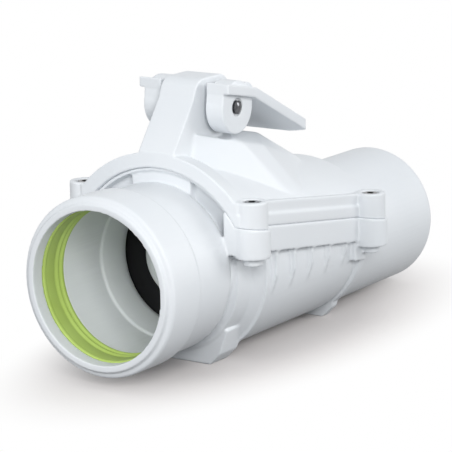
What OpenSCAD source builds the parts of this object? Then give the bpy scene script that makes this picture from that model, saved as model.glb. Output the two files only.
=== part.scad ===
// Backwater valve: a drain fitting with an inspection cover, a hinged flap and a lever that locks the flap.
// Millimetres. X runs with the flow from the socket mouth, Z is up, and the inlet axis is Y = 0, Z = 0.

/* [Pipe ends] */
// Bore of the inlet socket
socket_bore_d = 111; // [90:0.5:125]
// Depth of the inlet socket
socket_depth = 80; // [60:1:110]
// Outside diameter of the bead round the seal groove
bead_d = 131; // [126:0.5:150]
// Length of the bead
bead_len = 38; // [30:1:50]
// Outside diameter of the socket behind the bead
barrel_d = 125; // [118:0.5:136]
// Bore of the throat behind the socket
throat_d = 99; // [80:0.5:104]
// Length of the throat, up to the flap's seat
throat_len = 24; // [20:1:34]
// Outside diameter of the outlet spigot
spigot_d = 110; // [90:0.5:114]
// Wall of the outlet spigot
spigot_wall = 3.6; // [2.5:0.1:6]
// Length of the spigot behind the rear ring
spigot_len = 126; // [80:1:180]
// How far the outlet axis lies under the inlet axis
outlet_drop = 19; // [12:0.5:24]

/* [Chamber] */
// Outside diameter of the chamber drum
drum_d = 132; // [126:0.5:138]
// Wall of the chamber
wall = 4; // [3:0.1:6]
// Length of the drum, from the seat to its rear end
drum_len = 138; // [120:1:170]
// Thickness of the stiffening ribs
rib_t = 3; // [2:0.1:5]
// Ribs on each side of the drum
rib_count = 5; // [3:1:6]
// Spacing of the ribs
rib_pitch = 24.4; // [18:0.1:28]
// Half width of the feet
foot_half = 31; // [22:1:42]

/* [Cover joint] */
// Slope of the cover joint, down towards the outlet
tilt = 8.4; // [4:0.1:12]
// Radius of the arched joint face
arch_r = 80; // [78:0.5:90]
// Half width of the cover flange
flange_half = 71; // [70:0.5:80]
// Height of the cover's front band
band_t = 11; // [8:0.5:14]
// Distance between the left and right screws
screw_w = 148; // [144:0.5:164]
// Distance between the front and rear screws
screw_l = 164; // [150:0.5:180]
// Diameter of the screw bosses
boss_d = 26; // [20:0.5:32]
// Thread diameter of the cover screws
screw_d = 6; // [4:0.5:8]
// Diameter of the gasket cord
gasket_d = 4; // [3:0.1:6]

/* [Lever] */
// Distance of the lever shaft behind the seat
shaft_dx = 26; // [24:0.5:32]
// Height of the lever shaft over the inlet axis
shaft_z = 111.5; // [109:0.5:120]
// Diameter of the lever shaft
shaft_d = 8; // [6:0.5:10]
// Width of the tower that carries the shaft
tower_w = 31; // [29:0.5:36]
// Thickness of each lever ear
ear_t = 15; // [10:0.5:18]
// Half width of the lever's grip
grip_half = 39.5; // [38:0.5:46]
// Thickness of the lever's plate
grip_t = 7.5; // [5:0.5:10]
// Length of the sloping grip
grip_len = 87; // [70:1:100]
// Turn of the lever from free to locked, in degrees
lever_turn = 85; // [60:1:85]
// Travel of the locking stem
stroke = 9; // [6:0.5:9]
// Diameter of the locking stem
stem_d = 8; // [6:0.5:9]

/* [Flap] */
// Diameter of the flap plate
flap_d = 108; // [104:0.5:114]
// Thickness of the flap plate
flap_t = 5; // [3:0.5:7]
// Thickness of the flap's rubber disc
rubber_t = 3.5; // [2.5:0.1:5]
// Diameter of the clamp disc on the rubber
clamp_d = 62; // [50:1:80]
// Diameter of the flap's hinge pin
hinge_d = 6; // [4:0.5:8]
// Height of the flap's hinge over the inlet axis
hinge_z = 60; // [58:0.5:64]

/* [Fits] */
// Running clearance on a radius
run_fit = 0.05; // [0.02:0.01:0.1]
// Free gap between pieces that pass each other
free_gap = 0.5; // [0.3:0.1:1]
// Interference of a pressed or squeezed piece
squeeze = 0.05; // [0.02:0.01:0.2]

/* [Hidden] */
$fn = 96;
bore_r = socket_bore_d / 2;
neck_r = throat_d / 2 + 7;
groove_x = 11;
groove_w = 24;
groove_t = 4.4;
seat_gap = 0.2;
follow_gap = 0.3;
ring_depth = 1.46;
seat_x = socket_depth + throat_len;
drum_end = seat_x + drum_len;
ring_x = drum_end + 8;
ring_t = 8;
total_len = ring_x + ring_t + spigot_len;
floor_z = -outlet_drop - spigot_d / 2;
drum_z = floor_z + drum_d / 2 + 0.8;
joint_x = seat_x - 28;
joint_z = -8;
cover_len = 196;
joint_len = cover_len + 2;
lip_step = 3;
front_step = 11;
joint_w = sqrt(arch_r * arch_r - 67 * 67);
screw_x = joint_x + 12;
head_d = screw_d * 1.75;
shaft_x = seat_x + shaft_dx;
lip_t = 3;
cheek = tower_w / 2;
slot_half = 9;
spring_r = 9.6;
wire_d = 1.5;
well_r = 11.8;
head_r = 10.6;
cam_min = 9;
cam_k = stroke / (lever_turn * PI / 180);
stem_top = shaft_z - cam_min - follow_gap;
stem_len = 27;
guide_top = stem_top - 12;
guide_low = stem_top - 24;
well_floor = stem_top - 21;
hinge_x = seat_x + 12;
plate_x = seat_x + seat_gap + rubber_t;
knuckle_half = 16;
lug_t = 6;
heel_reach = shaft_x - hinge_x;
heel_r = heel_reach + 2;
stem_low = stem_top - stem_len;
heel_top = stem_low - stroke - 0.3;
window_half = 58;
window_front = 22;
window_rear = 168;
tube_r = 7.2;
inner_half = 59;
ear_gap = 4.5;
ear_in = cheek + ear_gap;
ear_out = ear_in + ear_t;
rear_band_t = 5;
boss_high = 20;
boss_low = 21;
head_sink = 6.2;
dome_z = 110;
ledge_slope = 15;
ledge_drop = 24;
ledge_step = 0.3;
grip_a = 27;

// Points of a circular arc from angle a0 to angle a1
function arc(c, r, a0, a1, n) =
    [for (i = [0:n]) let (a = a0 + (a1 - a0) * i / n) c + r * [cos(a), sin(a)]];

// Turns a profile of (distance along X, radius) about a line parallel to X at height z
module along_x(z) translate([0, 0, z]) rotate([0, 90, 0]) rotate_extrude() children();

module rod_x(x, z, d, len) translate([x, 0, z]) rotate([0, 90, 0]) cylinder(d = d, h = len);

module rod_y(x, y, z, d, len) translate([x, y, z]) rotate([-90, 0, 0]) cylinder(d = d, h = len);

// Sweeps a side-view outline (X, Z) over y0..y1
module side(y0, y1) translate([0, y1, 0]) rotate([90, 0, 0]) linear_extrude(y1 - y0) children();

// The sloped frame of the cover joint: X along the slope, Z square to it
module on_joint() translate([joint_x, 0, joint_z]) rotate([0, tilt, 0]) children();

// Sweeps a cross section (Y, Z) of the joint frame over u0..u1
module joint_run(u0, u1) translate([u0, 0, 0]) rotate([90, 0, 90]) linear_extrude(u1 - u0) children();

module mirrored() {
    children();
    mirror([0, 1, 0]) children();
}

// Height of the joint's flat sides at a distance along X
function joint_at(x) = joint_z + joint_w / cos(tilt) - (x - joint_x) * tan(tilt);

// Places a child at each cover screw, with Z = 0 on the joint
module at_screws()
    for (x = [screw_x, screw_x + screw_l], s = [-1, 1])
        translate([x, s * screw_w / 2, joint_at(x)]) children();

// Keeps what lies between an upright front face and the rear face of the joint
module joint_span(step) intersection() {
    children();
    translate([joint_x + step, -200, -200]) cube([cover_len - step, 400, 500]);
}

// Everything over the joint face, in the part's frame
module over_joint(lift) on_joint() joint_run(-60, joint_len + 2) difference() {
    translate([-150, -20]) square([300, 220]);
    circle(r = arch_r + lift);
    translate([-160, -30]) square([320, joint_w + lift + 30]);
}

// Outline of the inspection opening, in the joint frame
module window(half, u0, u1, r) hull() {
    for (u = [u0 + r, u1 - r], v = [-half + r, half - r]) translate([u, v]) circle(r = r, $fn = 48);
}

// Outside of the socket, up to the front of the chamber
module socket_form() along_x(0) polygon(concat(
    [[0, 0], [socket_bore_d / 2 + 4.6, 0], [socket_bore_d / 2 + 5.2, 1], [socket_bore_d / 2 + 5.4, lip_t]],
    [[bead_d / 2 - 3, lip_t]],
    arc([bead_d / 2 - 3, lip_t + 3], 3, -90, 0, 6),
    [[bead_d / 2, bead_len - 3], [barrel_d / 2, bead_len]],
    arc([barrel_d / 2 - 10, socket_depth - 6], 10, 0, 80, 8),
    [[neck_r, seat_x - 8], [0, seat_x - 8]]));

// Everything bored out of the inlet side: lip, seal groove, socket and throat
module inlet_bore() along_x(0) polygon([[0, -1], [bore_r, -1], [bore_r, groove_x],
    [bore_r + groove_t, groove_x], [bore_r + groove_t, groove_x + groove_w], [bore_r, groove_x + groove_w],
    [bore_r, socket_depth], [bore_r - 1.6, socket_depth], [throat_d / 2, seat_x - 5],
    [throat_d / 2, seat_x - 1], [throat_d / 2 + 2, seat_x + 1], [0, seat_x + 1]]);

// The drum with its sloping front and rear walls, drawn in by inset
module drum_form(inset) along_x(drum_z) polygon([
    [0, seat_x - 12 + inset], [neck_r + 2 - inset, seat_x - 12 + inset],
    [neck_r + 3 - inset, seat_x + 4], [drum_d / 2 - 1 - inset, seat_x + 11 + inset],
    [drum_d / 2 - inset, seat_x + 16], [drum_d / 2 - inset, drum_end - inset],
    [drum_d / 2 - 1.5 - inset, ring_x + 1 - inset], [0, ring_x + 1 - inset]]);

module foot_plate(x, t, high) translate([x, 0, 0]) rotate([90, 0, 90]) linear_extrude(t)
    polygon([[-foot_half, floor_z], [foot_half, floor_z], [foot_half + 9, floor_z + 9],
        [foot_half + 16, high], [-foot_half - 16, high], [-foot_half - 9, floor_z + 9]]);

// Walls that carry the cover joint over the drum
module chamber_outside() {
    translate([seat_x + 10, -inner_half - wall, drum_z]) cube([drum_len - 12, 2 * (inner_half + wall), 80]);
    translate([seat_x - 2, -inner_half - wall, 8]) cube([20, 2 * (inner_half + wall), 72]);
    joint_span(front_step + 0.6) on_joint() joint_run(-30, 20) joint_wall(20);
    intersection() {
        on_joint() joint_run(150, 180) joint_wall(10);
        translate([ring_x - 14, -100, -100]) cube([16, 200, 200]);
    }
}

module joint_wall(low) intersection() {
    circle(r = arch_r + 6);
    translate([-flange_half + 1, low]) square([2 * flange_half - 2, 80]);
}

// Room for the flap, round the seat's tube
module chamber_inside() difference() {
    union() {
        drum_form(wall);
        rod_x(seat_x - 1, 0, flap_d + 5, 30);
        translate([seat_x + 14, -inner_half, drum_z]) cube([drum_len - 20, 2 * inner_half, 100]);
    }
    rod_x(seat_x - 40, 0, 2 * neck_r, 40);
}

// Thin edge of the body under the cover's front band
module front_lip() joint_span(lip_step) on_joint() joint_run(-20, 20) difference() {
    intersection() {
        circle(r = arch_r + 5);
        translate([-66, 0]) square([132, 120]);
    }
    circle(r = arch_r - 2.5);
}

module body_flange() joint_span(front_step) on_joint() difference() {
    joint_run(-20, joint_len + 10) difference() {
        union() {
            intersection() {
                circle(r = arch_r + 5);
                translate([-67, 0]) square([134, 120]);
            }
            translate([-flange_half, joint_w - 19]) square([2 * flange_half, 22]);
        }
        circle(r = arch_r - 6);
        translate([-flange_half + 6, -1]) square([2 * flange_half - 12, joint_w - 8]);
    }
    translate([0, 0, -50]) linear_extrude(200) window(window_half, window_front, window_rear, 30);
}

// Screw bosses, each with a thinner tube under it
module boss_posts() at_screws() {
    translate([0, 0, -boss_low]) cylinder(d = boss_d, h = boss_low + 20);
    translate([0, 0, -boss_low - 6]) cylinder(d = screw_d + 8, h = 8);
}

// Blocks that tie the bosses to the joint's flange
module boss_webs() mirrored() for (x = [screw_x, screw_x + screw_l])
    translate([x - 12, flange_half - 14, joint_at(x) - boss_low + 2]) cube([22, 13.4, boss_low + 10]);

module side_ribs() mirrored() for (i = [0:rib_count - 1])
    translate([seat_x + 22 + i * rib_pitch, 0, 0]) rotate([90, 0, 90]) linear_extrude(rib_t)
        polygon([[40, 30], [flange_half - 1, 24], [flange_half - 1.5, drum_z - 3],
            [drum_d / 2 - 3, drum_z - 19], [40, drum_z - 19]]);

module seat_lugs() mirrored() side(knuckle_half + free_gap, knuckle_half + free_gap + lug_t)
    difference() {
        union() {
            translate([hinge_x, hinge_z]) circle(r = 8);
            translate([seat_x - 4, hinge_z - 6]) square([hinge_x - seat_x + 4, 10]);
        }
        translate([hinge_x, hinge_z]) circle(d = hinge_d - 2 * squeeze);
    }

module gasket_loop(grow) difference() {
    window(window_half + 6 + grow, window_front - 6 - grow, window_rear + 6 + grow, 36 + grow);
    window(window_half + 6 - gasket_d - grow, window_front - 6 + gasket_d + grow,
        window_rear + 6 - gasket_d - grow, 36 - gasket_d - grow);
}

// A band that follows the arched joint from depth low to depth high
module joint_band(low, high) joint_run(0, joint_len) difference() {
    union() {
        circle(r = arch_r + high);
        translate([-flange_half, 0]) square([2 * flange_half, joint_w + high]);
    }
    union() {
        circle(r = arch_r + low);
        translate([-flange_half - 1, -1]) square([2 * flange_half + 2, joint_w + low + 1]);
    }
}

// Opening in the body's arch for the flap's hinge
module hinge_room() translate([hinge_x - 9.5, -knuckle_half - lug_t - 6, hinge_z - 12])
    cube([60, 2 * (knuckle_half + lug_t + 6), 60]);

// White body with socket, chamber, screw bosses and spigot
module valve_body() color("white") difference() {
    union() {
        difference() {
            union() {
                socket_form();
                drum_form(0);
                chamber_outside();
                body_flange();
                front_lip();
                boss_posts();
                boss_webs();
                side_ribs();
                foot_plate(seat_x - 10, 23, -46);
                foot_plate(ring_x, ring_t, -40);
                drum_ring(seat_x + 12, 4);
                drum_ring(ring_x - 0.5, ring_t + 0.5);
                spigot_form();
                translate([joint_x + 5, -26, 50]) cube([27, 52, 25]);
            }
            chamber_inside();
            hinge_room();
            over_joint(0);
        }
        seat_lugs();
    }
    inlet_bore();
    rod_x(drum_end - 20, -outlet_drop, spigot_d - 2 * spigot_wall, total_len);
    at_screws() translate([0, 0, -boss_low + 3]) cylinder(d = screw_d - 2 * squeeze, h = 100);
    on_joint() intersection() {
        joint_band(-gasket_d * 0.7, 1);
        linear_extrude(120) gasket_loop(0);
    }
}

// Raised ring round the drum
module drum_ring(x, t) translate([x, 0, 0]) rotate([90, 0, 90]) linear_extrude(t) intersection() {
    translate([0, drum_z]) circle(d = drum_d + 3);
    translate([-100, floor_z + 0.3]) square([200, 160]);
}

module spigot_form() along_x(-outlet_drop) polygon([[0, ring_x + 1], [spigot_d / 2, ring_x + 1],
    [spigot_d / 2, total_len - 4], [spigot_d / 2 - 1.5, total_len], [0, total_len]]);

// Green lip seal in the socket's groove
module inlet_seal() color("yellowgreen") along_x(0) {
    x = groove_x + 0.2;
    w = groove_w - 0.4;
    r = bore_r + 0.1;
    polygon([[bore_r + groove_t, x], [bore_r + groove_t, x + w], [r, x + w], [r, x + 0.82 * w],
        [r + 1.2, x + 0.78 * w], [r + 1.2, x + 0.7 * w], [r, x + 0.66 * w], [r, x + 0.58 * w],
        [r + 1.2, x + 0.54 * w], [r + 1.2, x + 0.16 * w], [r, x + 0.1 * w], [r, x]]);
}

// Rubber cord between body and cover
module cover_gasket() color("dimgray") on_joint() intersection() {
    joint_band(-gasket_d * 0.7, 0);
    linear_extrude(120) gasket_loop(-squeeze);
}

// Domed form of the cover, drawn in by inset on every side
module dome_form(inset) hull() {
    on_joint() translate([0, 0, 40]) {
        translate([23, 0, 0]) cylinder(r = 26 - inset, h = 14, $fn = 36);
        translate([96, 0, 0]) cylinder(r = 63 - inset, h = 14, $fn = 64);
        translate([160, 0, 0]) cylinder(r = 36 - inset, h = 14, $fn = 40);
    }
    for (s = [-1, 1]) {
        translate([seat_x + 2, s * 12, dome_z - 16]) sphere(r = 6 - inset, $fn = 24);
        translate([seat_x + 36, s * 30, dome_z - 31]) sphere(r = 6 - inset, $fn = 24);
        translate([seat_x + 58, s * 31, dome_z - 36]) sphere(r = 6 - inset, $fn = 24);
        translate([seat_x + 82, s * 12, dome_z - 34]) sphere(r = 6 - inset, $fn = 24);
        translate([seat_x + 132, s * 14, dome_z - 60]) sphere(r = 6 - inset, $fn = 24);
    }
}

// Side view of the tower, with its leaning front and rounded head
module tower_outline() polygon(concat(
    [[seat_x - 34, shaft_z - 35.5], [seat_x - 2, shaft_z + 7.5]],
    arc([seat_x + 13, shaft_z + 8], 14, 143, 95, 6),
    arc([seat_x + 32, shaft_z + 8.5], 13.5, 88, 0, 8),
    [[seat_x + 45.5, shaft_z - 24], [seat_x + 40, shaft_z - 33.5]],
    [[seat_x + 8, shaft_z - 33.5], [seat_x - 18, shaft_z - 45.5]]));

// Stepped-down places beside the tower, under the lever's ears
module ledges() mirrored() {
    rod_y(shaft_x, cheek + free_gap / 2, shaft_z, 2 * ledge_drop, 60);
    translate([shaft_x, cheek + free_gap / 2, shaft_z]) rotate([0, ledge_slope, 0])
        translate([-70, 0, -ledge_drop + ledge_step]) cube([70, 60, 80]);
}

module cover_bosses() at_screws() translate([0, 0, -15]) cylinder(d = boss_d - 3, h = boss_high + 15);

// Well for the spring round the stem's guide tube, and the slot for the cam
module stem_room() {
    difference() {
        translate([shaft_x, 0, well_floor]) cylinder(r = well_r, h = shaft_z - well_floor);
        translate([shaft_x, 0, well_floor - 1]) cylinder(r = tube_r, h = guide_top - well_floor + 1);
    }
    side(-slot_half, slot_half) difference() {
        union() {
            translate([shaft_x, shaft_z]) circle(r = 20.2);
            translate([shaft_x, shaft_z - 16]) square([60, 34]);
        }
        translate([0, guide_top - 20]) square([300, 20]);
    }
}

// Arched plate of the cover with a high front band and side rims
module cover_shell() joint_span(0) on_joint() {
    joint_run(-20, joint_len + 20) intersection() {
        circle(r = arch_r + rear_band_t);
        translate([-flange_half + 2, 20]) square([2 * flange_half - 4, 120]);
    }
    joint_run(-20, 5) intersection() {
        circle(r = arch_r + band_t);
        translate([-flange_half + 2, 20]) square([2 * flange_half - 4, 120]);
    }
    mirrored() joint_run(-10, joint_len - 12) translate([flange_half - 9, joint_w - 10]) square([7, 28]);
    mirrored() joint_run(-10, joint_len) translate([flange_half - 16, joint_w - 10]) square([15.6, 19]);
}

// White cover with its dome and the tower for the lever
module inspection_cover() color("white") difference() {
    union() {
        difference() {
            union() {
                cover_shell();
                difference() {
                    dome_form(0);
                    ledges();
                }
                cover_bosses();
            }
            difference() {
                dome_form(wall);
                ledges_skin();
            }
            on_joint() translate([0, 0, -10]) linear_extrude(60)
                window(window_half - 1, window_front + 2, window_rear - 2, 30);
        }
        joint_span(0) side(-cheek, cheek) tower_outline();
    }
    difference() {
        on_joint() translate([0, 0, -60]) cube([2 * joint_len + 120, 400, 300], center = true);
        over_joint(0);
    }
    flap_sweep();
    stem_room();
    translate([shaft_x, 0, guide_low - 40]) cylinder(d = stem_d + 2 * run_fit, h = 60);
    rod_y(shaft_x, -60, shaft_z, shaft_d + 3, 120);
    at_screws() {
        translate([0, 0, -30]) cylinder(d = screw_d + 2 * free_gap, h = 100);
        translate([0, 0, boss_high - head_sink]) cylinder(d = head_d + 3, h = 20);
    }
}

// Keeps a wall under the ledges beside the tower
module ledges_skin() mirrored() {
    rod_y(shaft_x, cheek - wall, shaft_z, 2 * (ledge_drop + wall), 70);
    translate([shaft_x, cheek - wall, shaft_z]) rotate([0, ledge_slope, 0])
        translate([-70, 0, -ledge_drop - wall + ledge_step]) cube([70, 70, 90]);
}

// Room that the flap's hinge and heel need under the tower
module flap_sweep() {
    lug_half = knuckle_half + lug_t + 2 * free_gap;
    pin_half = lug_half + 6;
    rod_y(hinge_x, -lug_half, hinge_z, 2 * 9.5, 2 * lug_half);
    rod_y(hinge_x, -pin_half, hinge_z, hinge_d + 2, 2 * pin_half);
    rod_y(hinge_x, -12, hinge_z, 2 * (heel_r + 1), 24);
}

// Stainless screws that hold the cover
module cover_screws() color("silver") at_screws() difference() {
    union() {
        translate([0, 0, -boss_low + 6]) cylinder(d = screw_d, h = boss_low + boss_high - head_sink - 4);
        translate([0, 0, boss_high - head_sink + 1.5]) cylinder(d = head_d, h = 4);
        translate([0, 0, -boss_low + 3.5]) cylinder(d1 = 2, d2 = screw_d, h = 2.5);
    }
    translate([0, 0, boss_high - head_sink + 3]) cylinder(d = head_d * 0.55, h = 4, $fn = 6);
}

// Flat washers under the screw heads
module screw_washers() color("silver") at_screws() translate([0, 0, boss_high - head_sink]) difference() {
    cylinder(d = head_d + 2, h = 1.5);
    translate([0, 0, -1]) cylinder(d = screw_d + 0.6, h = 4);
}

// Stainless pin that carries the flap
module hinge_pin() color("silver") difference() {
    rod_y(hinge_x, -knuckle_half - lug_t - 5, hinge_z, hinge_d, 2 * (knuckle_half + lug_t + 5));
    for (s = [-1, 1]) translate([0, s * (knuckle_half + lug_t + free_gap + 1.1), 0]) difference() {
        rod_y(hinge_x, -0.5, hinge_z, hinge_d + 2, 1);
        rod_y(hinge_x, -1, hinge_z, hinge_d - 1, 2);
    }
}

// Spring clips in the grooves of the hinge pin
module hinge_clips() color("gray") for (s = [-1, 1])
    translate([0, s * (knuckle_half + lug_t + free_gap + 1.1), 0]) side(-0.45, 0.45) difference() {
        translate([hinge_x, hinge_z]) circle(d = hinge_d + 5);
        translate([hinge_x, hinge_z]) circle(d = hinge_d - 1);
        translate([hinge_x - hinge_d * 0.4, hinge_z]) square([hinge_d * 0.8, 10]);
    }

module flap_screw_places() for (a = [30:120:270])
    translate([0, 0.3 * clamp_d * cos(a), 0.3 * clamp_d * sin(a)]) children();

// Round flap with its hinge arms and the heel that the stem presses
module flap_plate() color("whitesmoke") difference() {
    union() {
        rod_x(plate_x, 0, flap_d, flap_t);
        rod_x(plate_x, 0, clamp_d * 0.8, flap_t + 3);
        for (s = [-1, 1]) side(s * 11 - 4, s * 11 + 4) {
            translate([hinge_x, hinge_z]) circle(r = 7);
            polygon([[plate_x, 10], [plate_x + flap_t + 3, 10], [hinge_x + 6.5, hinge_z - 3],
                [hinge_x - 6, hinge_z + 3], [plate_x, 44]]);
        }
        side(-11, 11) intersection() {
            translate([hinge_x, hinge_z]) circle(r = heel_r);
            polygon([[hinge_x, hinge_z - 6], [hinge_x + 60, hinge_z + 4],
                [hinge_x + 60, heel_top - 1.5], [hinge_x, heel_top - 1.5]]);
        }
        side(-11, 11) translate([hinge_x, hinge_z]) circle(r = 6);
    }
    rod_y(hinge_x, -40, hinge_z, hinge_d + 2 * run_fit, 80);
    flap_screw_places() rod_x(plate_x - 1, 0, 3.9, flap_t + 20);
    translate([shaft_x - 9, -8, heel_top - 2.5]) cube([14, 16, 4]);
}

// Hard pad let into the heel
module heel_pad() color("dimgray") intersection() {
    translate([shaft_x - 9, -8, heel_top - 2.5]) cube([14, 16, 2.5]);
    rod_y(hinge_x, -40, hinge_z, 2 * heel_r, 80);
}

// Black rubber disc that closes on the seat
module flap_rubber() color([0.08, 0.08, 0.08]) difference() {
    rod_x(plate_x - rubber_t, 0, flap_d - 2, rubber_t);
    flap_screw_places() rod_x(plate_x - rubber_t - 1, 0, 4.4, rubber_t + 2);
}

// Pale disc that clamps the rubber to the flap
module flap_clamp_disc() color("gainsboro") difference() {
    along_x(0) polygon([[0, plate_x - rubber_t - 3], [clamp_d / 2 - 3, plate_x - rubber_t - 3],
        [clamp_d / 2, plate_x - rubber_t - 1], [clamp_d / 2, plate_x - rubber_t], [0, plate_x - rubber_t]]);
    flap_screw_places() rod_x(plate_x - rubber_t - 2, 0, 3.9, 10);
}

// Screws from the back of the flap into the clamp disc
module flap_screws() color("silver") flap_screw_places() {
    rod_x(plate_x - rubber_t - 1.8, 0, 4, rubber_t + flap_t + 5);
    rod_x(plate_x + flap_t + 3, 0, 7.5, 2.5);
}

// Side view of the bent lever plate
module lever_strip() {
    top = [shaft_x + 19.6, shaft_z + 11.9];
    tip = top + grip_len * [cos(grip_a), -sin(grip_a)];
    depth = grip_t * [sin(grip_a), cos(grip_a)];
    polygon([[shaft_x - 18.2, shaft_z + 19.7 - grip_t], [shaft_x - 18.2, shaft_z + 19.7], top, tip,
        tip - depth, top - depth]);
}

module grip_plan() {
    end_x = shaft_x + 19.6 + grip_len * cos(grip_a) - 1;
    union() {
        translate([shaft_x - 40, -grip_half]) square([end_x - shaft_x - grip_half * 0.6 + 40, 2 * grip_half]);
        intersection() {
            translate([end_x - grip_half * 2, 0]) circle(r = grip_half * 2);
            translate([shaft_x + 20, -grip_half]) square([200, 2 * grip_half]);
        }
    }
}

// White lever: two ears beside the tower, a bridge behind it and the sloping grip
module lever() color("white") difference() {
    union() {
        mirrored() side(ear_in, ear_out) {
            translate([shaft_x, shaft_z]) circle(r = 19.5);
            polygon([[shaft_x - 19.5, shaft_z], [shaft_x - 17.5, shaft_z + 16],
                [shaft_x + 18, shaft_z + 8], [shaft_x + 19.5, shaft_z]]);
        }
        intersection() {
            side(-grip_half, grip_half) lever_strip();
            linear_extrude(300) grip_plan();
        }
        side(-cheek - 4, cheek + 4) translate([shaft_x + 36, shaft_z + 3]) circle(r = 9);
    }
    translate([shaft_x - 60, -ear_in, shaft_z - 40]) cube([60, 2 * ear_in, 100]);
    rod_y(shaft_x, -ear_in, shaft_z, 2 * 29.5, 2 * ear_in);
    rod_y(shaft_x, -60, shaft_z, shaft_d - 2 * squeeze, 120);
    mirrored() rod_y(shaft_x, ear_out - 2, shaft_z, shaft_d + 5, 20);
}

// Steel shaft that turns with the lever
module lever_shaft() color("silver") difference() {
    rod_y(shaft_x, -ear_out + 0.5, shaft_z, shaft_d, 2 * ear_out - 1);
    translate([shaft_x, 0, shaft_z - 20]) cylinder(d = 2.4, h = 40);
}

// Flanged bushes in the tower's cheeks
module shaft_bushes() color("gray") mirrored() difference() {
    union() {
        rod_y(shaft_x, slot_half + 0.3, shaft_z, shaft_d + 3 + 2 * squeeze, cheek - slot_half + 1);
        rod_y(shaft_x, cheek, shaft_z, shaft_d + 8, ear_gap - free_gap);
    }
    rod_y(shaft_x, slot_half - 1, shaft_z, shaft_d + 2 * run_fit, 40);
}

// Domed caps on the ends of the shaft
module shaft_caps() color("silver") mirrored() translate([0, ear_out - 2, 0]) difference() {
    intersection() {
        rod_y(shaft_x, 0, shaft_z, shaft_d + 2, 6);
        translate([shaft_x, -4.5, shaft_z]) sphere(r = 8.5);
    }
    rod_y(shaft_x, -1, shaft_z, shaft_d - 2 * squeeze, 2.5);
}

// Snail cam: an involute flank gives the stem an even travel
module cam_outline() {
    function flank(t) = let (h = cam_min + cam_k * t * PI / 180, d = -90 - t)
        h * [cos(d), sin(d)] + cam_k * [sin(d), -cos(d)];
    polygon(concat([for (t = [-16:4:lever_turn + 3]) flank(t)], arc([0, 0], cam_min - 0.6, 120, -80, 20)));
}

module locking_cam() color("dimgray") difference() {
    side(-slot_half + 0.8, slot_half - 0.8) translate([shaft_x, shaft_z]) cam_outline();
    rod_y(shaft_x, -20, shaft_z, shaft_d - 2 * squeeze, 40);
    translate([shaft_x, 0, shaft_z]) cylinder(d = 2.4, h = 30, center = true);
}

// Pin that keys the cam to the shaft
module cam_pin() color("silver") translate([shaft_x, 0, shaft_z])
    cylinder(d = 2.4 + 2 * squeeze, h = 14, center = true);

// Stem that presses the flap's heel
module locking_stem() color("silver") difference() {
    translate([shaft_x, 0, stem_low]) {
        cylinder(d = stem_d, h = stem_len);
        translate([0, 0, stem_len - 3]) cylinder(r = head_r, h = 3);
    }
    translate([shaft_x, 0, guide_top - 2.6]) difference() {
        cylinder(d = stem_d + 2, h = 1.6);
        translate([0, 0, -1]) cylinder(d = stem_d - 2 * ring_depth, h = 4);
    }
}

// Ring seal in the stem's groove
module stem_seal() color([0.1, 0.1, 0.1]) translate([shaft_x, 0, guide_top - 1.8])
    rotate_extrude() translate([stem_d / 2 - ring_depth + 0.73, 0]) circle(d = 1.5, $fn = 24);

// Coil spring that lifts the stem against the cam, with flat end turns
module stem_spring() {
    turns = 5;
    steps = 20;
    sides = 8;
    low = well_floor + wire_d / 2;
    high = stem_top - 3 - wire_d / 2;
    pitch = (high - low - 2 * wire_d) / (turns - 2);
    count = turns * steps;
    function rise(t) = t < 1 ? t * wire_d
        : t > turns - 1 ? high - low - (turns - t) * wire_d : wire_d + (t - 1) * pitch;
    function ring(i) = [for (j = [0:sides - 1])
        let (a = 360 * i / steps, b = 360 * j / sides, r = spring_r + wire_d / 2 * cos(b))
        [r * cos(a), r * sin(a), low + rise(i / steps) + wire_d / 2 * sin(b)]];
    points = [for (i = [0:count], p = ring(i)) p];
    walls = [for (i = [0:count - 1], j = [0:sides - 1]) let (k = (j + 1) % sides)
        [i * sides + j, i * sides + k, (i + 1) * sides + k, (i + 1) * sides + j]];
    ends = [[for (j = [sides - 1:-1:0]) j], [for (j = [0:sides - 1]) count * sides + j]];
    color("silver") translate([shaft_x, 0, 0]) polyhedron(points = points, faces = concat(walls, ends));
}

valve_body();
inlet_seal();
cover_gasket();
inspection_cover();
cover_screws();
screw_washers();
hinge_pin();
hinge_clips();
flap_plate();
flap_rubber();
flap_clamp_disc();
flap_screws();
lever();
lever_shaft();
shaft_bushes();
shaft_caps();
locking_cam();
cam_pin();
locking_stem();
stem_seal();
stem_spring();
heel_pad();
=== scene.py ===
import math

import bpy
from mathutils import Matrix, Vector


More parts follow.
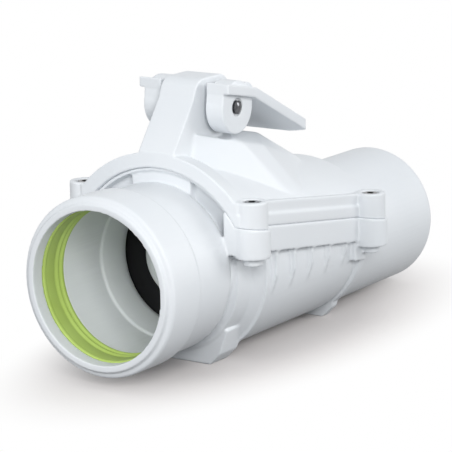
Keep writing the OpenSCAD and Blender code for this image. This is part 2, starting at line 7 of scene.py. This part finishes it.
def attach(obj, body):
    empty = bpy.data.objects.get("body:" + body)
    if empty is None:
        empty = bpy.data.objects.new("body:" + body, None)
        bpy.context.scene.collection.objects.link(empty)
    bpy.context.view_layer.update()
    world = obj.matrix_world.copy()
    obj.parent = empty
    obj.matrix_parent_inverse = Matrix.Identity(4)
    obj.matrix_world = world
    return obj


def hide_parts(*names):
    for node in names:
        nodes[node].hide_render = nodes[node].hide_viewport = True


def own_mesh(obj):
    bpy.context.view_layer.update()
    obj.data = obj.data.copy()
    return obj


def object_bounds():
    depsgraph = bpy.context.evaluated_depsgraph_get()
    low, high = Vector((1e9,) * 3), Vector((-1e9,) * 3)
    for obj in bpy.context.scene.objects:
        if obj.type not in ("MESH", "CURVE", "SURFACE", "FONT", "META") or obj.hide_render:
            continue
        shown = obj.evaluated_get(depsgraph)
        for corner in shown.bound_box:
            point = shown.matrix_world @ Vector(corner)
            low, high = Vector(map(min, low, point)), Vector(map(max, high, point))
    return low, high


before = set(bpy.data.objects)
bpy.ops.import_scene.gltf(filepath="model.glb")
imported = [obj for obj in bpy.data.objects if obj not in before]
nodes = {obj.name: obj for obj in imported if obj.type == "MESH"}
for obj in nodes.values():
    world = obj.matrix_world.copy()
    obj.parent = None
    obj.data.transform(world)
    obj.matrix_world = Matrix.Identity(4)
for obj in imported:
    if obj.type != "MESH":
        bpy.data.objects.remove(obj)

cadBounds = [list(corner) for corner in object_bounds()]
mm = 0.001
weldGap = 0.01 * mm
tintEnds = (0.3, 0.7)  # noise values at which a finish reaches its two colours
print("frame loaded:", len(nodes), "nodes")


def selectOnly(piece):
    bpy.ops.object.select_all(action="DESELECT")
    piece.select_set(True)
    bpy.context.view_layer.objects.active = piece


def applyModifiers(piece):
    selectOnly(piece)
    for modifier in list(piece.modifiers):
        bpy.ops.object.modifier_apply(modifier=modifier.name)


def weldedCopy(name, nodeName):  # the solid itself is never changed
    piece = bpy.data.objects.new(name, nodes[nodeName].data.copy())
    bpy.context.scene.collection.objects.link(piece)
    selectOnly(piece)
    bpy.ops.object.mode_set(mode="EDIT")
    bpy.ops.mesh.select_all(action="SELECT")
    bpy.ops.mesh.remove_doubles(threshold=weldGap)
    bpy.ops.object.mode_set(mode="OBJECT")
    piece.data.materials.clear()
    return piece


def newFinish(name):
    finish = bpy.data.materials.new(name)
    finish.use_nodes = True
    tree = finish.node_tree
    shader = tree.nodes["Principled BSDF"]
    place = tree.nodes.new("ShaderNodeTexCoord")
    return finish, tree, shader, place


def addNoise(tree, place, scale, detail):
    noise = tree.nodes.new("ShaderNodeTexNoise")
    noise.inputs["Scale"].default_value = scale
    noise.inputs["Detail"].default_value = detail
    tree.links.new(place.outputs["Object"], noise.inputs["Vector"])
    return noise


def addRange(tree, source, low, high):
    band = tree.nodes.new("ShaderNodeMapRange")
    band.inputs["To Min"].default_value = low
    band.inputs["To Max"].default_value = high
    tree.links.new(source, band.inputs["Value"])
    return band.outputs["Result"]


def addTint(tree, source, first, second):
    ramp = tree.nodes.new("ShaderNodeValToRGB")
    for element, position, colour in zip(ramp.color_ramp.elements, tintEnds, (first, second)):
        element.position = position
        element.color = (*colour, 1)
    tree.links.new(source, ramp.inputs["Fac"])
    return ramp.outputs["Color"]


def addBump(tree, shader, source, strength, depth):
    bump = tree.nodes.new("ShaderNodeBump")
    bump.inputs["Strength"].default_value = strength
    bump.inputs["Distance"].default_value = depth
    tree.links.new(source, bump.inputs["Height"])
    tree.links.new(bump.outputs["Normal"], shader.inputs["Normal"])


mouldedWhite = {  # body, cover and lever
    "first": (0.79, 0.815, 0.84), "second": (0.825, 0.845, 0.865),
    "cloudScale": 14, "grainScale": 900, "roughLow": 0.38, "roughHigh": 0.5,
    "bump": 0.10, "bumpDepth": 0.00006, "coat": 0.04, "coatRough": 0.3,
}
plastic = {"cloudDetail": 3, "grainDetail": 4, "ior": 1.49, "specular": 0.5}  # shared by plastics and rubbers


def makeMouldedPlastic(name, settings):
    finish, tree, shader, place = newFinish(name)
    cloud = addNoise(tree, place, settings["cloudScale"], plastic["cloudDetail"]).outputs["Fac"]
    grain = addNoise(tree, place, settings["grainScale"], plastic["grainDetail"])
    tint = addTint(tree, cloud, settings["first"], settings["second"])
    rough = addRange(tree, cloud, settings["roughLow"], settings["roughHigh"])
    tree.links.new(tint, shader.inputs["Base Color"])
    tree.links.new(rough, shader.inputs["Roughness"])
    addBump(tree, shader, grain.outputs["Fac"], settings["bump"], settings["bumpDepth"])
    shader.inputs["Coat Weight"].default_value = settings["coat"]
    shader.inputs["Coat Roughness"].default_value = settings["coatRough"]
    shader.inputs["IOR"].default_value = plastic["ior"]
    shader.inputs["Specular IOR Level"].default_value = settings.get("specular", plastic["specular"])
    return finish


flapWhite = {  # flap plate and clamp disc
    "first": (0.70, 0.72, 0.74), "second": (0.76, 0.78, 0.80),
    "cloudScale": 20, "grainScale": 700, "roughLow": 0.38, "roughHigh": 0.5,
    "bump": 0.15, "bumpDepth": 0.00008, "coat": 0.0, "coatRough": 0.3,
}
greyNylon = {  # bushes, cam and heel pad
    "first": (0.20, 0.205, 0.215), "second": (0.26, 0.265, 0.28),
    "cloudScale": 40, "grainScale": 1200, "roughLow": 0.4, "roughHigh": 0.55,
    "bump": 0.2, "bumpDepth": 0.0001, "coat": 0.0, "coatRough": 0.3,
}
greenRubber = {  # lip seal
    "first": (0.48, 0.63, 0.14), "second": (0.54, 0.7, 0.19),
    "cloudScale": 30, "grainScale": 1500, "roughLow": 0.42, "roughHigh": 0.6,
    "bump": 0.25, "bumpDepth": 0.0001, "coat": 0.0, "coatRough": 0.3,
}
blackRubber = {  # gasket, flap rubber and ring seal
    "first": (0.008, 0.008, 0.009), "second": (0.016, 0.016, 0.018),
    "cloudScale": 30, "grainScale": 1500, "roughLow": 0.5, "roughHigh": 0.7,
    "bump": 0.25, "bumpDepth": 0.0001, "coat": 0.0, "coatRough": 0.3, "specular": 0.12,
}

turnedSteel = {  # pins, clips, flap screws, shaft, stem and spring
    "first": (0.50, 0.51, 0.53), "second": (0.60, 0.61, 0.63),
    "streak": 1400, "streakDetail": 2, "roughLow": 0.2, "roughHigh": 0.34, "bump": 0.08, "bumpDepth": 0.00003,
}
steelWithPaintedDarkReflection = {  # cover screws, their washers and the shaft caps; the near-black base colour is painted dark reflection on the chrome caps and painted shade in the screw recesses
    "first": (0.07, 0.072, 0.078), "second": (0.15, 0.152, 0.16),
    "streak": 500, "streakDetail": 2, "roughLow": 0.1, "roughHigh": 0.16, "bump": 0.08, "bumpDepth": 0.00003,
}


def makeSteel(name, settings):
    finish, tree, shader, place = newFinish(name)
    streak = addNoise(tree, place, settings["streak"], settings["streakDetail"]).outputs["Fac"]
    tint = addTint(tree, streak, settings["first"], settings["second"])
    rough = addRange(tree, streak, settings["roughLow"], settings["roughHigh"])
    tree.links.new(tint, shader.inputs["Base Color"])
    tree.links.new(rough, shader.inputs["Roughness"])
    addBump(tree, shader, streak, settings["bump"], settings["bumpDepth"])
    shader.inputs["Metallic"].default_value = 1.0
    return finish


finishes = {
    "white": makeMouldedPlastic("mouldedWhite", mouldedWhite),
    "flap": makeMouldedPlastic("flapWhite", flapWhite),
    "grey": makeMouldedPlastic("greyNylon", greyNylon),
    "green": makeMouldedPlastic("greenRubber", greenRubber),
    "black": makeMouldedPlastic("blackRubber", blackRubber),
    "steel": makeSteel("turnedSteel", turnedSteel),
    "steelWithPaintedDarkReflection": makeSteel("steelWithPaintedDarkReflection", steelWithPaintedDarkReflection),
}
print("finishes made:", len(finishes))


mouldings = {  # a copy of each white solid gets a skin with soft moulded edges
    "valve_body": {"piece": "bodyMoulding", "body": "housing", "skin": 0.9 * mm, "soften": 4, "faces": 90000},
    "inspection_cover": {"piece": "coverMoulding", "body": "housing", "skin": 0.7 * mm, "soften": 11, "faces": 80000},
    "lever": {"piece": "leverMoulding", "body": "lever", "skin": 0.55 * mm, "soften": 7, "faces": 50000},
}
softenFactor = 0.5


def mouldedCopy(nodeName, settings):
    piece = weldedCopy(settings["piece"], nodeName)
    skin = piece.modifiers.new("skin", "REMESH")
    skin.mode = "VOXEL"
    skin.voxel_size = settings["skin"]
    soften = piece.modifiers.new("soften", "SMOOTH")
    soften.factor = softenFactor
    soften.iterations = settings["soften"]
    applyModifiers(piece)
    thin = piece.modifiers.new("thin", "DECIMATE")
    thin.ratio = min(1, settings["faces"] / len(piece.data.polygons))
    applyModifiers(piece)
    bpy.ops.object.shade_smooth()
    piece.data.materials.append(finishes["white"])
    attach(piece, settings["body"])
    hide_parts(nodeName)
    print("moulding", piece.name, len(piece.data.polygons), "faces")


for nodeName, settings in mouldings.items():
    mouldedCopy(nodeName, settings)


lipSeal = {  # turned from a profile of (place along the pipe, radius) in millimetres
    "segments": 128, "edge": 0.35 * mm, "edgeSegments": 2, "edgeAngle": math.radians(40), "smooth": math.radians(50),
    "profile": [(11.3, 59.8), (11.3, 55.2), (12.6, 54.6), (14.0, 54.6), (14.8, 55.2), (22.5, 54.4), (23.3, 54.9),
                (25.0, 54.7), (26.0, 53.9), (27.6, 53.9), (28.4, 54.8), (30.0, 54.6), (31.0, 53.7), (33.0, 53.8),
                (34.6, 54.9), (34.7, 59.8), (11.3, 59.8)],
}


def turnedRing(name, settings):
    along, radius = settings["profile"][0]
    bpy.ops.object.select_all(action="DESELECT")
    bpy.ops.mesh.primitive_circle_add(vertices=settings["segments"], radius=radius * mm, fill_type="NOTHING",
                                      location=(along * mm, 0, 0), rotation=(0, math.pi / 2, 0))
    ring = bpy.context.active_object
    ring.name = name
    bpy.ops.object.transform_apply(location=True, rotation=True, scale=True)
    bpy.ops.object.mode_set(mode="EDIT")
    bpy.ops.mesh.select_all(action="SELECT")
    for nextAlong, nextRadius in settings["profile"][1:]:
        bpy.ops.mesh.extrude_region_move(TRANSFORM_OT_translate={"value": ((nextAlong - along) * mm, 0, 0)})
        grow = nextRadius / radius
        bpy.ops.transform.resize(value=(1, grow, grow), center_override=(nextAlong * mm, 0, 0))
        along, radius = nextAlong, nextRadius
    bpy.ops.mesh.select_all(action="SELECT")
    bpy.ops.mesh.remove_doubles(threshold=weldGap)
    bpy.ops.mesh.normals_make_consistent(inside=False)
    bpy.ops.object.mode_set(mode="OBJECT")
    edge = ring.modifiers.new("edge", "BEVEL")
    edge.width = settings["edge"]
    edge.segments = settings["edgeSegments"]
    edge.limit_method = "ANGLE"
    edge.angle_limit = settings["edgeAngle"]
    applyModifiers(ring)
    bpy.ops.object.shade_smooth_by_angle(angle=settings["smooth"])
    return ring


seal = turnedRing("lipSeal", lipSeal)
seal.data.materials.append(finishes["green"])
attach(seal, "housing")
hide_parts("inlet_seal")
print("seal made:", len(seal.data.polygons), "faces")


returnSpring = {"travel": 9 * mm, "smooth": math.radians(50)}  # the real spring's travel as the lever is turned up


def shorteningSpring(name, nodeName, settings):
    spring = weldedCopy(name, nodeName)
    bpy.ops.object.shade_smooth_by_angle(angle=settings["smooth"])
    spring.data.materials.append(finishes["steel"])
    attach(spring, "housing")
    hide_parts(nodeName)
    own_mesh(spring)
    print("spring made:", len(spring.data.polygons), "faces")


shorteningSpring("returnSpring", "stem_spring", returnSpring)


solidFinishes = {  # pieces that keep their solid
    "cover_gasket": "black", "flap_rubber": "black", "stem_seal": "black",
    "flap_plate": "flap", "flap_clamp_disc": "flap",
    "shaft_bushes": "grey", "locking_cam": "grey", "heel_pad": "grey",
    # painted dark reflection and shade: the cover screws, washers and shaft caps take the near-black steel
    "cover_screws": "steelWithPaintedDarkReflection", "screw_washers": "steelWithPaintedDarkReflection", "hinge_pin": "steel", "hinge_clips": "steel",
    "flap_screws": "steel", "lever_shaft": "steel", "cam_pin": "steel", "locking_stem": "steel",
    "shaft_caps": "steelWithPaintedDarkReflection",
}
for nodeName, finishName in solidFinishes.items():
    slots = nodes[nodeName].data.materials
    slots.clear()
    slots.append(finishes[finishName])
print("solids finished:", len(solidFinishes))


stage = {  # pale floor with a painted soft warm shadow near the part, soft lamps, white surround
    "floorSize": 8.0, "paintedShadow": (0.83, 0.785, 0.765), "glowAndPaintedWarmShade": (1.0, 0.98, 0.97), "bounce": (0.2, 0.205, 0.21),
    "squeeze": (0.45, 1, 1), "centre": (0.0855, 0, 0), "near": 0.055, "far": 0.132,
    "worldColour": (0.9, 0.95, 1.0), "worldStrength": 0.46, "aim": (0.17, 0, 0.03), "lampSize": 1.1,
}
lamps = {
    "keyLamp": {"place": (-1.5, -1.6, 1.05), "power": 33},
    "frontLamp": {"place": (-2.4, 0.5, 0.7), "power": 15.5},
    "sideLamp": {"place": (1.6, -2.0, 0.8), "power": 17},
    "topLamp": {"place": (0.1, -0.2, 1.4), "power": 1.2},
}


def addCameraMix(tree, first, second):
    path = tree.nodes.new("ShaderNodeLightPath")
    total = path.outputs["Is Camera Ray"]
    for extra in ("Is Glossy Ray", "Is Transmission Ray"):
        joined = tree.nodes.new("ShaderNodeMath")
        joined.operation = "MAXIMUM"
        tree.links.new(total, joined.inputs[0])
        tree.links.new(path.outputs[extra], joined.inputs[1])
        total = joined.outputs[0]
    mix = tree.nodes.new("ShaderNodeMixShader")
    tree.links.new(total, mix.inputs["Fac"])
    tree.links.new(first, mix.inputs[1])
    tree.links.new(second, mix.inputs[2])
    return mix.outputs["Shader"]


def makeFloor(settings):
    bpy.ops.object.select_all(action="DESELECT")
    bpy.ops.mesh.primitive_plane_add(size=settings["floorSize"], location=(0, 0, cadBounds[0][2]))
    floor = bpy.context.active_object
    floor.name = "studioFloor"
    finish = bpy.data.materials.new("floorWithPaintedShadow")
    finish.use_nodes = True
    tree = finish.node_tree
    tree.nodes.clear()
    out = tree.nodes.new("ShaderNodeOutputMaterial")
    # painted shadow: the floor's paint is darker and warmer than the white glow around it
    paintedShadow = tree.nodes.new("ShaderNodeBsdfDiffuse")
    paintedShadow.inputs["Color"].default_value = (*settings["paintedShadow"], 1)
    bounce = tree.nodes.new("ShaderNodeBsdfDiffuse")
    bounce.inputs["Color"].default_value = (*settings["bounce"], 1)
    glowAndPaintedWarmShade = tree.nodes.new("ShaderNodeEmission")
    place = tree.nodes.new("ShaderNodeTexCoord")
    oval = tree.nodes.new("ShaderNodeVectorMath")
    oval.operation = "MULTIPLY"
    oval.inputs[1].default_value = settings["squeeze"]
    tree.links.new(place.outputs["Object"], oval.inputs[0])
    away = tree.nodes.new("ShaderNodeVectorMath")
    away.operation = "DISTANCE"
    away.inputs[1].default_value = settings["centre"]
    tree.links.new(oval.outputs["Vector"], away.inputs[0])
    paintedShadowFade = tree.nodes.new("ShaderNodeMapRange")  # painted shadow: the darker warm paint, lit by the lamps, counts near the part and fades to a white glow
    paintedShadowFade.interpolation_type = "SMOOTHSTEP"
    paintedShadowFade.inputs["From Min"].default_value = settings["near"]
    paintedShadowFade.inputs["From Max"].default_value = settings["far"]
    tree.links.new(away.outputs["Value"], paintedShadowFade.inputs["Value"])
    # painted warm shade: the glow takes a warm tint where it meets the painted shadow
    tint = tree.nodes.new("ShaderNodeMix")
    tint.data_type = "RGBA"
    tint.inputs["A"].default_value = (*settings["glowAndPaintedWarmShade"], 1)
    tint.inputs["B"].default_value = (1, 1, 1, 1)
    tree.links.new(paintedShadowFade.outputs["Result"], tint.inputs["Factor"])
    tree.links.new(tint.outputs["Result"], glowAndPaintedWarmShade.inputs["Color"])
    blend = tree.nodes.new("ShaderNodeMixShader")
    tree.links.new(paintedShadowFade.outputs["Result"], blend.inputs["Fac"])
    tree.links.new(paintedShadow.outputs["BSDF"], blend.inputs[1])
    tree.links.new(glowAndPaintedWarmShade.outputs["Emission"], blend.inputs[2])
    shown = addCameraMix(tree, bounce.outputs["BSDF"], blend.outputs["Shader"])
    tree.links.new(shown, out.inputs["Surface"])
    floor.data.materials.append(finish)


def makeWorld(settings):
    world = bpy.data.worlds.new("whiteRoom")
    world.use_nodes = True
    tree = world.node_tree
    tree.nodes.clear()
    out = tree.nodes.new("ShaderNodeOutputWorld")
    soft = tree.nodes.new("ShaderNodeBackground")
    soft.inputs["Color"].default_value = (*settings["worldColour"], 1)
    soft.inputs["Strength"].default_value = settings["worldStrength"]
    seen = tree.nodes.new("ShaderNodeBackground")
    seen.inputs["Color"].default_value = (1, 1, 1, 1)
    shown = addCameraMix(tree, soft.outputs["Background"], seen.outputs["Background"])
    tree.links.new(shown, out.inputs["Surface"])
    bpy.context.scene.world = world


def makeLamp(name, place, size, power, aim):
    lamp = bpy.data.lights.new(name, "AREA")
    lamp.shape = "DISK"
    lamp.size = size
    lamp.energy = power
    holder = bpy.data.objects.new(name, lamp)
    bpy.context.scene.collection.objects.link(holder)
    holder.location = place
    holder.rotation_euler = (Vector(aim) - Vector(place)).to_track_quat("-Z", "Y").to_euler()


makeFloor(stage)
makeWorld(stage)
for lampName, settings in lamps.items():
    makeLamp(lampName, settings["place"], stage["lampSize"], settings["power"], stage["aim"])


viewpoint = {  # fitted to the round mouth, the spigot and the cover screws of the photograph
    "target": (0.150, -0.0093, 0.01635), "distance": 1.740,
    "azimuth": 34.237, "elevation": 12.912, "roll": -1.021, "lens": 185.74, "sensor": 36.0,
}


def makeCamera(settings):
    azimuth, elevation, roll = (math.radians(settings[key]) for key in ("azimuth", "elevation", "roll"))
    level = math.cos(elevation)
    ahead = Vector((level * math.cos(azimuth), level * math.sin(azimuth), -math.sin(elevation)))
    right = Vector((math.sin(azimuth), -math.cos(azimuth), 0))
    up = right.cross(ahead)
    rolledRight = math.cos(roll) * right + math.sin(roll) * up
    rolledUp = math.cos(roll) * up - math.sin(roll) * right
    lens = bpy.data.cameras.new("photoCamera")
    lens.lens = settings["lens"]
    lens.sensor_width = settings["sensor"]
    camera = bpy.data.objects.new("photoCamera", lens)
    bpy.context.scene.collection.objects.link(camera)
    turn = Matrix((rolledRight, rolledUp, -ahead)).transposed()
    place = Vector(settings["target"]) - settings["distance"] * ahead
    camera.matrix_world = Matrix.Translation(place) @ turn.to_4x4()
    bpy.context.scene.camera = camera


makeCamera(viewpoint)
bpy.context.scene.view_settings.view_transform = "Standard"
print("stage, lamps and camera set")
